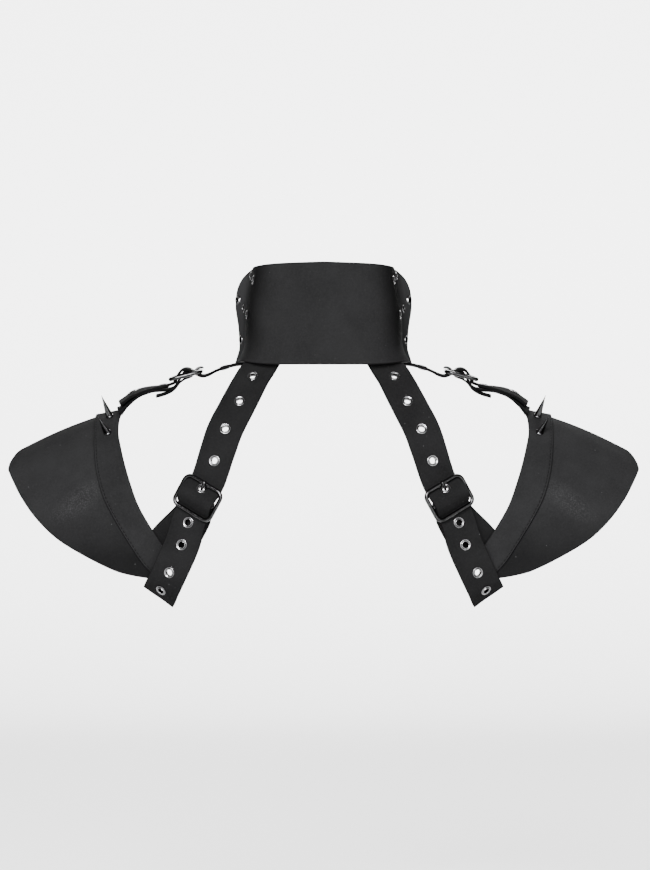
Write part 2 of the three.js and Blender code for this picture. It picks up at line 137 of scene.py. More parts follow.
# A leather wall between two levels of a surface, with rounded edges and a mask of its rim.
def wall(name, at, us, vs, low, high, rounding=0.5):
    vertices, marks = [], []
    for level in (high, low):
        for i, u in enumerate(us):
            for j, v in enumerate(vs):
                point, normal = at(u, v)
                vertices.append(point + normal * level)
                marks.append(float(i in (0, len(us) - 1) or j in (0, len(vs) - 1)))
    rows, half = len(vs), len(us) * len(vs)
    faces = []
    for i in range(len(us) - 1):
        for j in range(rows - 1):
            a = i * rows + j
            faces.append((a, a + rows, a + rows + 1, a + 1))
            faces.append((a + half, a + half + 1, a + half + rows + 1, a + half + rows))
    for i in range(len(us) - 1):
        for a in (i * rows, i * rows + rows - 1):
            faces.append((a, a + half, a + half + rows, a + rows))
    for j in range(rows - 1):
        for a in (j, half - rows + j):
            faces.append((a, a + 1, a + 1 + half, a + half))
    mesh = meshFrom(name, vertices, faces, marks)
    shape = bmesh.new()
    shape.from_mesh(mesh)
    corners = [e for e in shape.edges if e.calc_face_angle(0) > 1]
    bmesh.ops.bevel(shape, geom=corners, offset=rounding * mm, segments=3, profile=0.5,
                    affect="EDGES", clamp_overlap=True)
    shape.to_mesh(mesh)
    shape.free()
    mesh.shade_smooth()
    return mesh


# A round wire along points, each with a radius of its own.
def tube(name, points, radii, sides=16, loop=False):
    count = len(points)
    vertices, faces = [], []
    side = None
    for i, point in enumerate(points):
        before = points[i - 1] if loop or i else point
        after = points[(i + 1) % count] if loop or i < count - 1 else point
        along = (after - before).normalized()
        side = side or (Vector((0, 1, 0)) if abs(along.y) < 0.9 else Vector((1, 0, 0)))
        side = (side - along * side.dot(along)).normalized()
        up = along.cross(side)
        for k in range(sides):
            turn = 2 * math.pi * k / sides
            vertices.append(point + radii[i] * (side * math.cos(turn) + up * math.sin(turn)))
    for i in range(count if loop else count - 1):
        j = (i + 1) % count
        for k in range(sides):
            n = (k + 1) % sides
            faces.append((i * sides + k, i * sides + n, j * sides + n, j * sides + k))
    if not loop:
        faces.append(tuple(range(sides)))
        faces.append(tuple(range((count - 1) * sides, count * sides)))
    return meshFrom(name, vertices, faces)


# A turned piece on the Z axis: a ring where its profile closes, else a solid with its ends
# on the axis.
def turned(name, profile, sides=40, ring=False, marks=None):
    vertices, faces = [], []
    for r, h in profile:
        for k in range(sides):
            turn = 2 * math.pi * k / sides
            vertices.append(Vector((r * math.cos(turn), r * math.sin(turn), h)))
    for i in range(len(profile) if ring else len(profile) - 1):
        j = (i + 1) % len(profile)
        for k in range(sides):
            n = (k + 1) % sides
            faces.append((i * sides + k, i * sides + n, j * sides + n, j * sides + k))
    if not ring:
        faces.append(tuple(range(sides)))
        faces.append(tuple(range((len(profile) - 1) * sides, len(profile) * sides)))
    return meshFrom(name, vertices, faces, marks and [m for m in marks for _ in range(sides)])


def joined(name, meshes):
    shape = bmesh.new()
    for mesh in meshes:
        shape.from_mesh(mesh)
    whole = bpy.data.meshes.new(name)
    shape.to_mesh(whole)
    shape.free()
    whole.shade_smooth()
    return whole


# The mesh less its cutters, with the cut's corners kept crisp.
def cut(mesh, cutters):
    body = bpy.data.objects.new("cutBody", mesh)
    tool = bpy.data.objects.new("cutTool", joined("cutTool", cutters))
    for made in (body, tool):
        bpy.context.scene.collection.objects.link(made)
    change = body.modifiers.new("cut", "BOOLEAN")
    change.operation, change.solver, change.object = "DIFFERENCE", "EXACT", tool
    bpy.context.view_layer.update()
    result = bpy.data.meshes.new_from_object(body.evaluated_get(bpy.context.evaluated_depsgraph_get()))
    result.name = mesh.name
    for made in (body, tool):
        bpy.data.objects.remove(made)
    result.shade_smooth()
    result.set_sharp_from_angle(angle=math.radians(50))
    return result


# A plain block between two corners, laid through a function of its three directions.
def block(name, at, low, high):
    corners = [at(*(high[k] if i >> k & 1 else low[k] for k in range(3))) for i in range(8)]
    sides = [(0, 1, 3, 2), (4, 6, 7, 5), (0, 4, 5, 1), (2, 3, 7, 6), (0, 2, 6, 4), (1, 5, 7, 3)]
    return meshFrom(name, corners, sides)


def drills(places, radius):
    made = []
    for point, normal in places:
        made.append(tube("drill", [point - normal * 6, point + normal * 6], [radius] * 2, 24))
    return made


# Pieces: each is made once for the wearer's right and mirrored for the left.

def mirrored(mesh):
    copy = mesh.copy()
    copy.transform(Matrix.Scale(-1, 4, (1, 0, 0)))
    copy.flip_normals()
    return copy


def place(name, mesh, material, slot, node=None, spot=None):
    made = bpy.data.objects.new(name, mesh)
    bpy.context.scene.collection.objects.link(made)
    made.data.materials.clear()
    made.data.materials.append(material)
    if spot:
        point, normal = spot
        turn = normal.to_track_quat("Z", "Y").to_matrix().to_4x4()
        made.matrix_world = Matrix.Translation(point * mm) @ turn
    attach(made, "root")
    if node:
        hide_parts(node)
    return made


def pair(name, mesh, material, slot, replacing=True):
    for side, own in (("right", mesh), ("left", mirrored(mesh))):
        node = f"{side}_{name}" if replacing else None
        place(f"{side}_{name}_finish", own, material, slot, node)


def flipped(vector):
    return Vector((-vector.x, vector.y, vector.z))


# Small fittings at places on both sides, numbered from one; those past the solid model's
# own count stand for no node.
def fittings(name, mesh, material, slot, places, count):
    for i, (point, normal) in enumerate(places, 1):
        sides = {"right": (point, normal), "left": (flipped(point), flipped(normal))}
        for side, spot in sides.items():
            node = f"{side}_{name}_{i}" if i <= count else None
            place(f"{side}_{name}_{i}_finish", mesh, material, slot, node, spot)


# Shader maths

# One shader socket, so that sums and products of masks read as plain expressions.
class Signal:
    def __init__(self, tree, socket=None):
        self.tree, self.socket = tree, socket

    def node(self, kind, settings=None, sockets=None, out=0):
        made = self.tree.nodes.new("ShaderNode" + kind)
        for key, value in (settings or {}).items():
            if key == "stops":
                ramp = made.color_ramp.elements
                while len(ramp) < len(value):
                    ramp.new(0.5)
                for stop, (position, tone) in zip(ramp, value):
                    stop.position, stop.color = position, tone
            else:
                setattr(made, key, value)
        for key, value in (sockets or {}).items():
            if isinstance(value, Signal):
                self.tree.links.new(value.socket, made.inputs[key])
            else:
                made.inputs[key].default_value = value
        return Signal(self.tree, made.outputs[out])

    def math(self, operation, a, b, clamp=False):
        return self.node("Math", {"operation": operation, "use_clamp": clamp}, {0: a, 1: b})

    def __add__(self, other):
        return self.math("ADD", self, other)

    def __radd__(self, other):
        return self.math("ADD", other, self)

    def __sub__(self, other):
        return self.math("SUBTRACT", self, other)

    def __rsub__(self, other):
        return self.math("SUBTRACT", other, self)

    def __mul__(self, other):
        return self.math("MULTIPLY", self, other)

    def __rmul__(self, other):
        return self.math("MULTIPLY", other, self)

    # 0 below the first value, 1 above the second
    def ramp(self, low, high):
        return self.node("MapRange", {"clamp": True}, {"Value": self, "From Min": low, "From Max": high})

    def mix(self, a, b):
        return self.node("Mix", {"data_type": "RGBA"}, {0: self, 6: a, 7: b}, out=2)


def grey(level):
    return (level, level, level * 1.03, 1)


def shaded(name, settings):
    material = bpy.data.materials.new(name)
    material.use_nodes = True
    shader = material.node_tree.nodes["Principled BSDF"]
    for key, value in settings.items():
        shader.inputs[key].default_value = value
    return material, shader, Signal(material.node_tree)


def link(material, shader, **signals):
    for key, signal in signals.items():
        name = {"color": "Base Color", "roughness": "Roughness", "normal": "Normal"}[key]
        material.node_tree.links.new(signal.socket, shader.inputs[name])


# Matt faux leather: clouded tone, fine pores, pale lint specks and burnished cut edges darkened with painted
# shade; some pieces add a painted sheen, painted shade lower down, or painted shade and light on the collar.
def leatherMaterial(name, look):
    material, shader, start = shaded(name, {"Specular IOR Level": look["gloss"], "Metallic": 0})
    where = start.node("TexCoord", out="Object")

    def noiseAt(size, detail, roughness=0.5):
        return start.node("TexNoise", {}, {
            "Vector": where, "Scale": 1 / size, "Detail": detail, "Roughness": roughness})

    cloud = noiseAt(look["cloudSize"], 3).ramp(0.3, 0.7)
    grain = noiseAt(look["grainSize"], 4, 0.65)
    pores = start.node("TexVoronoi", {"feature": "DISTANCE_TO_EDGE"}, {
        "Vector": where, "Scale": 1 / look["poreSize"]}).ramp(0, 0.22)
    lint = 1 - start.node("TexVoronoi", {}, {
        "Vector": where, "Scale": 1 / look["lintSpacing"]}).ramp(0.028, 0.05)
    rim = start.node("Attribute", {"attribute_name": "rim"}, out=2)
    tone = cloud.mix(grey(look["dark"]), grey(look["pale"]))
    tone = (grain.ramp(0.35, 0.75) * 0.5).mix(tone, grey(look["pale"] * 1.6))
    # the cut edges are burnished smoother, and their darker tone is painted shade
    tone = (rim * 0.75).mix(tone, grey(look["edge"]))
    # painted sheen: a pale speckled patch on the back of each cap
    if look["paintedSheen"]:
        tone = paintedSheenOn(start, where).mix(tone, grey(look["pale"] * look["paintedSheen"]))
    # painted shade: each cap darkens towards its bottom
    if look["shade"]:
        low = 1 - start.node("SeparateXYZ", {}, {0: where}, out=2).ramp(*look["shade"])
        tone = (low * 0.6).mix(tone, grey(look["edge"]))
    # painted shade on the collar's sides where they turn away, and painted light on its wings
    if look["paintedShadeAndLight"]:
        forward = start.node("SeparateXYZ", {}, {0: where}, out=1)
        high = start.node("SeparateXYZ", {}, {0: where}, out=2).ramp(*look["paintedShadeAndLight"]["heights"])
        tone = (forward.ramp(*look["paintedShadeAndLight"]["sides"]) * high * 0.85).mix(tone, grey(look["edge"]))
        tone = forward.ramp(*look["paintedShadeAndLight"]["litWings"]).mix(tone, grey(look["pale"] * 1.9))
    tone = (lint * look["lint"]).mix(tone, grey(0.12))
    height = grain * 0.6 + pores * 0.4
    bump = start.node("Bump", {}, {"Height": height, "Strength": look["relief"], "Distance": 0.0002})
    link(material, shader, color=tone, normal=bump,
         roughness=look["roughness"] + cloud * 0.08 - rim * 0.12)
    return material


# A slanting patch of painted sheen, pale specks that stand in for light caught on the back of each cap:
# where it is, half its length and half its width, in metres.
sheenPatchLook = {"out": 0.236, "height": -0.134, "slope": 0.6, "length": 0.042, "width": 0.014}


# painted sheen: the mask of pale specks on each cap
def paintedSheenOn(start, where):
    look = sheenPatchLook
    out = start.node("SeparateXYZ", {}, {0: where})
    side = start.node("Math", {"operation": "ABSOLUTE"}, {0: out}) - look["out"]
    rise = start.node("SeparateXYZ", {}, {0: where}, out=2) - look["height"]
    level = math.sqrt(1 - look["slope"] ** 2)
    along = (rise * look["slope"] - side * level) * (1 / look["length"])
    across = (side * look["slope"] + rise * level) * (1 / look["width"])
    patch = (1 - along * along - across * across).ramp(0, 0.9)
    specks = start.node("TexNoise", {}, {"Vector": where, "Scale": 900, "Detail": 2}).ramp(0.48, 0.66)
    return patch * specks


# Plated metal: faint brushing, tarnish gathered in patches and near black on the marked vertices.
def metalMaterial(name, look):
    material, shader, start = shaded(name, {"Metallic": 1, "Specular IOR Level": 0.5})
    where = start.node("TexCoord", out="Object")
    tarnish = start.node("TexNoise", {}, {"Vector": where, "Scale": 350, "Detail": 4}).ramp(0.42, 0.72)
    brushing = start.node("TexNoise", {}, {"Vector": where, "Scale": 2500, "Detail": 2})
    bump = start.node("Bump", {}, {"Height": brushing, "Strength": 0.12, "Distance": 0.00005})
    darkMarks = start.node("Attribute", {"attribute_name": "rim"}, out=2)
    plate = tarnish.mix(look["bright"], look["dull"])
    link(material, shader, normal=bump, color=darkMarks.mix(plate, grey(0.002)),
         roughness=look["roughness"] + tarnish * 0.18)
    return material


# Twisted sewing thread.
def threadMaterial(name, look):
    material, shader, start = shaded(name, {"Specular IOR Level": 0.02, "Metallic": 0})
    where = start.node("TexCoord", out="Object")
    twist = start.node("TexNoise", {}, {"Vector": where, "Scale": 3000, "Detail": 2})
    bump = start.node("Bump", {}, {"Height": twist, "Strength": 0.5, "Distance": 0.0001})
    link(material, shader, normal=bump, roughness=0.5 + twist * 0.2,
         color=twist.ramp(0.3, 0.7).mix(grey(look["dark"]), grey(look["pale"])))
    return material


# tones are reflectances and sizes are metres
# edge is the tone of painted shade, along the cut edges and wherever else shade is painted
leatherLook = {
    "dark": 0.0048, "pale": 0.0066, "edge": 0.0014, "gloss": 0.004, "roughness": 0.62,
    "cloudSize": 0.03, "grainSize": 0.0016, "poreSize": 0.0011, "relief": 0.5,
    "lintSpacing": 0.011, "lint": 0.08, "paintedSheen": 0, "shade": None, "paintedShadeAndLight": None,
}
# where painted shade darkens the collar going forward and up its sides, and where painted light makes its
# wings pale
collarPaintedShadeAndLight = {"sides": (-0.064, -0.036), "heights": (0.008, 0.036), "litWings": (-0.014, 0.002)}
guardLeather = leatherMaterial("guardLeather", {**leatherLook, "paintedShadeAndLight": collarPaintedShadeAndLight})
capLeather = leatherMaterial("capLeather", {
    **leatherLook, "dark": 0.0058, "pale": 0.0082, "paintedSheen": 1.9,
    "lint": 0.3, "shade": (-0.19, -0.14),
})
bandLeather = leatherMaterial("bandLeather", {**leatherLook, "dark": 0.0052, "pale": 0.0076})
strapLeather = leatherMaterial("strapLeather", {
    **leatherLook, "dark": 0.0033, "pale": 0.0052, "lint": 0.25,
})
chapeLeather = leatherMaterial("chapeLeather", {**leatherLook, "dark": 0.0032, "pale": 0.0047})
eyeletNickel = metalMaterial("eyeletNickel", {
    "bright": (0.17, 0.17, 0.173, 1), "dull": (0.08, 0.08, 0.082, 1), "roughness": 0.13})
spikeNickel = metalMaterial("spikeNickel", {
    "bright": (0.05, 0.05, 0.051, 1), "dull": (0.022, 0.022, 0.0225, 1), "roughness": 0.12})
buckleGunmetal = metalMaterial("buckleGunmetal", {
    "bright": (0.03, 0.03, 0.0305, 1), "dull": (0.012, 0.012, 0.0122, 1), "roughness": 0.09})
seamThread = threadMaterial("seamThread", {"dark": 0.0007, "pale": 0.0022})
print("materials made")


# Eyelets: on each face a curl round the hole and a domed flange, joined by the barrel.
eyeletLook = {"radius": 5.5, "hole": 3.0, "curl": 1.0, "groove": 0.2, "flange": 0.6, "darkShares": (0, 0.4)}


def eyeletMesh(name, thickness, radius):
    look, face, hole = eyeletLook, thickness / 2, eyeletLook["hole"]
    span = radius - hole
    section = [
        (0, 0), (0, look["curl"] * 0.6), (0.05, look["curl"] * 0.85), (0.14, look["curl"]),
        (0.24, look["curl"] * 0.93), (0.33, look["groove"] * 1.3), (0.4, look["groove"]),
        (0.5, look["groove"] * 1.1), (0.66, look["flange"]), (0.82, look["flange"] * 0.92),
        (0.94, look["flange"] * 0.6), (1, 0.12), (0.98, 0.02), (0.3, 0.02),
    ]
    half = [(hole + share * span, face + rise) for share, rise in section]
    other = [(r, -h) for r, h in reversed(half)]
    # near black at the hole's lip, in the groove and round the flange's outer edge
    dark = [float(share > 0.93 or share in look["darkShares"]) for share, _ in section]
    return turned(name, half + other, ring=True, marks=dark + dark[::-1])


# Stitches along a path on a surface: one mesh of short threads that dive in at both ends.
stitchLook = {"length": 3.0, "gap": 1.1, "radius": 0.32, "rise": 0.16}


def stitchMesh(name, at, path, level):
    fine = []
    for (u0, v0), (u1, v1) in zip(path, path[1:]):
        for k in range(40):
            t = k / 40
            fine.append((u0 + (u1 - u0) * t, v0 + (v1 - v0) * t))
    spots = [at(u, v) for u, v in fine]
    walked = [0]
    for (a, _), (b, _) in zip(spots, spots[1:]):
        walked.append(walked[-1] + (b - a).length)

    def on(distance):
        i = next(k for k in range(1, len(walked)) if walked[k] >= distance or k == len(walked) - 1)
        t = (distance - walked[i - 1]) / max(walked[i] - walked[i - 1], 1e-6)
        (a, na), (b, nb) = spots[i - 1], spots[i]
        return a.lerp(b, t), na.lerp(nb, t).normalized()

    length, pitch = stitchLook["length"], stitchLook["length"] + stitchLook["gap"]
    count = int((walked[-1] - length) // pitch)
    start = (walked[-1] - count * pitch - length) / 2
    threads = []
    for k in range(count + 1):
        points, radii = [], []
        for t in (0, 0.15, 0.5, 0.85, 1):
            point, normal = on(start + k * pitch + t * length)
            lift = level + stitchLook["rise"] * math.sin(math.pi * t) - (0.25 if t in (0, 1) else 0)
            points.append(point + normal * lift)
            radii.append(stitchLook["radius"] * (0.55 if t in (0, 1) else 1))
        threads.append(tube("thread", points, radii, 6))
    return joined(name, threads)


# Collar
collarLook = {
    "halfWidth": 76, "depth": 70, "height": 97, "wall": 2.4, "dent": 0.5,
    "eyeletRadius": 4.5, "holeRadius": 3.75,
}
# share of the band | out / half width | forward / depth | how far it belongs to the free end
collarPlan = smooth([
    [0.0, 0.0, -1.0, 0],
    [0.14, 0.28, -0.995, 0],
    [0.28, 0.56, -0.96, 0],
    [0.4, 0.77, -0.86, 0],
    [0.52, 0.91, -0.66, 0],
    [0.64, 0.985, -0.38, 0],
    [0.76, 1.0, -0.1, 0.02],
    [0.86, 1.02, 0.11, 0.3],
    [0.93, 1.05, 0.21, 0.7],
    [1.0, 1.09, 0.3, 1.0],
])
# height / collar height | widening of the neck side | of the free end | of the depth
collarFlare = smooth([
    [-0.03, 1.14, 1.06, 1.035],
    [0.06, 1.06, 1.03, 1.02],
    [0.15, 1.01, 1.0, 1.005],
    [0.25, 1.0, 1.0, 1.0],
    [0.4, 1.0, 1.015, 1.0],
    [0.55, 0.99, 1.045, 1.0],
    [0.7, 0.96, 1.055, 1.0],
    [0.84, 0.925, 1.05, 1.0],
    [1.0, 0.9, 1.04, 1.0],
])
# share of the band | bottom edge / height | top edge / height
collarEdges = smooth([
    [0.0, -0.028, 1.0],
    [0.3, -0.025, 0.986],
    [0.43, -0.012, 0.977],
    [0.53, 0.002, 0.97],
    [0.7, 0.006, 0.96],
    [0.8, 0.006, 0.952],
    [0.88, 0.006, 0.92],
    [0.94, 0.006, 0.845],
    [0.98, 0.006, 0.74],
    [1.0, 0.006, 0.58],
])
# share of the band | share of the height; the first four are the solid model's
collarEyelets = [(0.955, 0.3), (0.955, 0.8), (0.62, 0.5), (0.58, 0.86), (0.86, 0.6), (0.79, 0.93)]


def collarPoint(u, v):
    out, forward, end = collarPlan(abs(u))
    bottom, top = collarEdges(abs(u))
    height = bottom + (top - bottom) * v
    side, tip, depth = collarFlare(height)
    width = out * (side + (tip - side) * end) * collarLook["halfWidth"]
    back = depth if forward < 0 else 1
    return Vector((
        math.copysign(width, u), forward * collarLook["depth"] * back, height * collarLook["height"]))


def makeCollar(look):
    at = dented(withNormal(collarPoint), look["dent"], 45, 3)
    places = [at(u, v) for u, v in collarEyelets]
    both = places + [(flipped(p), flipped(n)) for p, n in places]
    band = wall("collar", at, edged(-1, 1, 236, 0.004), edged(0, 1, 56, 0.011),
                -look["wall"] / 2, look["wall"] / 2, 0.7)
    drilled = cut(band, drills(both, look["holeRadius"]))
    place("collar_finish", drilled, guardLeather, "guard_leather", "collar")
    ring = eyeletMesh("collarEyelet", look["wall"], look["eyeletRadius"])
    fittings("collar_eyelet", ring, eyeletNickel, "eyelet_metal", places, 4)


makeCollar(collarLook)
print("collar made")


# Shoulder caps
capLook = {
    "reach": 312, "fall": 209, "halfDepth": 89, "wall": 2, "bulge": 3, "bandWall": 2.2,
    "gap": 0.3, "lap": 0.33, "dent": 0.8, "stitchFromSeam": 0.075,
}
# arch | inner: out, back, down | seam: out, back, down | hem: out, back, down | front lean
# out / reach, back / half depth, down / fall
capRows = smooth([
    [0.0, 0.633, 0.0, 0.226, 0.719, 0.0, 0.25, 1.0, 0.0, 0.437, 0.0],
    [0.125, 0.642, 0.19, 0.268, 0.721, 0.19, 0.282, 0.993, 0.236, 0.498, 0.008],
    [0.25, 0.643, 0.34, 0.333, 0.719, 0.37, 0.345, 0.969, 0.427, 0.566, 0.015],
    [0.375, 0.633, 0.485, 0.399, 0.715, 0.545, 0.425, 0.935, 0.64, 0.644, 0.022],
    [0.5, 0.618, 0.618, 0.48, 0.705, 0.697, 0.522, 0.887, 0.809, 0.731, 0.028],
    [0.625, 0.597, 0.742, 0.573, 0.683, 0.82, 0.628, 0.821, 0.944, 0.819, 0.034],
    [0.75, 0.57, 0.82, 0.675, 0.644, 0.888, 0.739, 0.731, 1.0, 0.899, 0.038],
    [0.875, 0.523, 0.82, 0.795, 0.593, 0.875, 0.863, 0.639, 0.945, 0.967, 0.04],
    [0.94, 0.495, 0.79, 0.858, 0.563, 0.85, 0.93, 0.588, 0.885, 0.989, 0.04],
    [1.0, 0.469, 0.76, 0.912, 0.53, 0.81, 0.983, 0.54, 0.82, 1.002, 0.04],
])
# arch share | share across the band | lean outward
spikePlaces = [(-0.09, 0.4, 0.2), (-0.245, 0.42, 0.36)]
spikeLook = {"length": 23, "radius": 4, "shank": 1.5, "seat": 4.0}


# Across the cap, 0 is the inner edge, 1 the seam and 2 the hem.
def capPoint(u, v):
    row = capRows(min(abs(u), 1))
    lean = row[9] if u > 0 else 0

    def corner(k):
        return Vector((
            (row[k] + lean) * capLook["reach"],
            math.copysign(row[k + 1] * capLook["halfDepth"], u),
            -row[k + 2] * capLook["fall"],
        ))

    seam = corner(3)
    if v <= 1:
        return corner(0).lerp(seam, v)
    swell = capLook["bulge"] * 4 * (v - 1) * (2 - v) * (1 - abs(u) ** 3)
    push = Vector((0.55, math.copysign(0.7 * min(1, 3 * abs(u)), u), 0.45))
    curl = max(0, (v - 1.84) / 0.16) ** 2 * max(0, 1 - abs(u) / 0.16)
    return seam.lerp(corner(6), v - 1) + push * swell + Vector((-1, 0, -8)) * curl


def makeCap(look):
    at = dented(withNormal(capPoint, -1), look["dent"], 60, 7)
    arch = edged(-1, 1, 190, 0.004)
    panel = wall("capPanel", at, arch, edged(1 - look["lap"], 2, 44, 0.012), -look["wall"], 0)
    pair("cap_panel", panel, capLeather, "guard_leather")
    top = look["gap"] + look["bandWall"]
    spots = []
    for u, v, lean in spikePlaces:
        point, normal = at(u, v)
        spots.append((point, (normal + Vector((lean, 0, 0))).normalized()))
    band = wall("capBand", at, arch, edged(0, 1, 20, 0.03), look["gap"], top)
    band = cut(band, drills(spots, spikeLook["shank"] + 0.4))
    pair("cap_band", band, bandLeather, "band_leather")
    seam = 1 - look["stitchFromSeam"]
    ends = [(-0.99 + 1.98 * k / 24, seam) for k in range(25)]
    pair("cap_seam_thread", stitchMesh("seamStitches", at, ends, top), seamThread, "band_leather", False)
    return spots


def makeSpikes(look, spots):
    seat, radius = look["seat"], look["radius"]
    profile = [
        (0.01, -2.6), (2.9, -2.6), (3.2, -2.3), (3.2, -1.5), (look["shank"], -1.4),
        (look["shank"], seat - 1.4), (radius - 0.3, seat - 1.4), (radius, seat - 1.1),
        (radius, seat - 0.2), (radius - 0.35, seat + 0.1), (radius - 0.7, seat + 0.3),
        (radius - 0.75, seat + 0.7), (radius - 0.4, seat + 1.1), (radius - 0.55, seat + 1.6),
    ]
    tip = seat + look["length"]
    cone = [((radius - 0.6) * (1 - t) ** 1.05 + 0.12 * t, seat + 1.8 + (tip - seat - 1.8) * t)
            for t in [k / 14 for k in range(15)]]
    spike = turned("spike", profile + cone + [(0.01, tip + 0.1)])
    fittings("spike", spike, spikeNickel, "spike_metal", spots, 2)


makeSpikes(spikeLook, makeCap(capLook))
print("caps and spikes made")


# Buckles and straps
buckleLook = {
    "length": 35, "span": 45.5, "wire": 2, "bar": 1.5, "prong": 1.3, "corner": 8.5,
}
strapLook = {
    "width": 35, "wall": 2.6, "chapeWall": 2, "gap": 0.3, "eyeletStep": 1.3, "pressed": 1.4,
    "holeRadius": 4.0, "dent": 0.5,
}
barAt = buckleLook["length"] / 2 - buckleLook["wire"]
wrapRadius = buckleLook["bar"] + strapLook["gap"] + strapLook["chapeWall"] / 2
strapLift = (buckleLook["bar"] + strapLook["chapeWall"] + strapLook["wall"] / 2
             + 2 * buckleLook["prong"] - strapLook["pressed"])
strapSink = buckleLook["wire"] + strapLook["gap"] + strapLook["eyeletStep"] + strapLook["wall"] / 2
upperSink = (strapSink + strapLook["wall"] / 2 + strapLook["eyeletStep"] + strapLook["gap"]
             + strapLook["chapeWall"] / 2)
lowerSink = upperSink + strapLook["chapeWall"] + strapLook["gap"]

# The strap under, over and under the bars of its buckle:
# along | away from the body | width / strap width
strapInBuckle = [
    (-barAt - 7, -strapSink - 0.2),
    (-barAt, -strapSink),
    (-0.56 * barAt, 0.1 * strapLift, 1.055),
    (-0.24 * barAt, 0.82 * strapLift, 1.08),
    (0, strapLift, 1.08),
    (0.24 * barAt, 0.84 * strapLift, 1.08),
    (0.56 * barAt, 0.06 * strapLift, 1.055),
    (0.84 * barAt, -strapSink + 0.5),
    (barAt + 1, -strapSink - 0.1),
    (barAt + 8, -strapSink - 0.2),
]
# The chape from its sewn end, round the middle bar and back under the strap:
# along | away from the body | width / strap width
chapeInBuckle = [
    (barAt + 18, -lowerSink - 0.9, 1.12),
    (barAt + 8.5, -lowerSink - 0.7, 1.12),
    (barAt, -lowerSink, 1.09),
    (0.58 * barAt, -lowerSink + 4.8),
    (0.28 * barAt, -wrapRadius - 1.2),
    *[(wrapRadius * math.cos(math.radians(t)), wrapRadius * math.sin(math.radians(t)))
      for t in range(-90, -271, -30)],
    (0.17 * barAt, 0.7 * wrapRadius),
    (0.32 * barAt, 0.15 * wrapRadius),
    (0.56 * barAt, -upperSink + 4.7),
    (barAt, -upperSink, 1.09),
    (barAt + 8.5, -upperSink - 0.9, 1.12),
]


# A buckle's own directions: a along the strap, b across it and n away from the body.
class BuckleFrame:
    def __init__(self, origin, along, across):
        self.origin = origin
        self.a = along.normalized()
        self.b = (across - self.a * across.dot(self.a)).normalized()
        self.n = self.a.cross(self.b)

    def at(self, a, b, n):
        return self.origin + self.a * a + self.b * b + self.n * n


# A place on the straps: how far out between the neck's side and the cap's reach, and its
# shares of the cap's half depth and fall.
def spotOn(out, back, down):
    return Vector((
        collarLook["halfWidth"] + out * (capLook["reach"] - collarLook["halfWidth"]),
        -back * capLook["halfDepth"],
        -down * capLook["fall"],
    ))


def inBuckle(buckle, rows, drift=0, sag=0):
    return [(
        buckle.at(a, a * drift, n), buckle.b,
        (width[0] if width else 1) * strapLook["width"] / 2, sag if a > barAt else 0,
    ) for a, n, *width in rows]


# A flat strap along its stations: point, direction across, half width, sag of the edges.
class Ribbon:
    def __init__(self, stations):
        self.length = 0
        rows = []
        for i, (point, across, half, sag) in enumerate(stations):
            if i:
                self.length += (point - stations[i - 1][0]).length
            rows.append([self.length, *point, *across, half, sag])
        self.line = smooth(rows)

    def at(self, s, v):
        row = self.line(s)
        ahead = Vector(self.line(min(s + 0.05, self.length))[:3])
        behind = Vector(self.line(max(s - 0.05, 0))[:3])
        along = (ahead - behind).normalized()
        across = Vector(row[3:6])
        across = (across - along * across.dot(along)).normalized()
        out = along.cross(across)
        half, sag = row[6:]
        point = Vector(row[:3]) + across * v * half - out * sag * v * v
        return point, (out + across * (2 * sag * v / half)).normalized()


def eyeletSpots(ribbon, buckle, steps):
    hole = buckle.at(-0.57 * barAt, 0, 0)
    tries = [ribbon.length * k / 400 for k in range(401)]
    start = min(tries, key=lambda s: (ribbon.at(s, 0)[0] - hole).length)
    return [ribbon.at(start + step * strapLook["width"], 0) for step in steps]


def makeBuckle(name, frame, look):
    x, y, r = barAt, look["span"] / 2 - look["wire"], look["corner"] - look["wire"]
    points = []
    for cx, cy, start in ((x - r, y - r, 0), (r - x, y - r, 90), (r - x, r - y, 180), (x - r, r - y, 270)):
        for turn in range(0, 91, 10):
            angle = math.radians(start + turn)
            points.append(frame.at(cx + r * math.cos(angle), cy + r * math.sin(angle), 0))
    ring = tube("ring", points, [look["wire"]] * len(points), 20, True)
    bar = tube("bar", [frame.at(0, -y, 0), frame.at(0, y, 0)], [look["bar"]] * 2, 20)
    pair(f"{name}_buckle", joined("buckle", [ring, bar]), buckleGunmetal, "buckle_metal")

    r = look["bar"] + strapLook["gap"] + look["prong"]
    rise = look["wire"] + strapLook["gap"] + look["prong"]
    path = [(r * math.cos(math.radians(t)), r * math.sin(math.radians(t))) for t in range(150, -91, -30)]
    path += [
        (-0.3 * barAt, -r + 0.6), (-0.47 * barAt, -0.25 * r), (-0.57 * barAt, 0.3 * r),
        (-0.78 * barAt, 0.9 * rise), (-0.96 * barAt, rise + 0.15), (-1.1 * barAt, rise - 0.2),
        (-1.2 * barAt, rise - 1.3),
    ]
    curve = smooth([[i, a, n] for i, (a, n) in enumerate(path)])
    steps = [(len(path) - 1) * k / 60 for k in range(61)]
    points = [frame.at(curve(s)[0], 0, curve(s)[1]) for s in steps]
    radii = [look["prong"] * min(1, 0.45 + 0.5 * (steps[-1] - s)) for s in steps]
    pair(f"{name}_prong", tube("prong", points, radii, 14), buckleGunmetal, "buckle_metal")


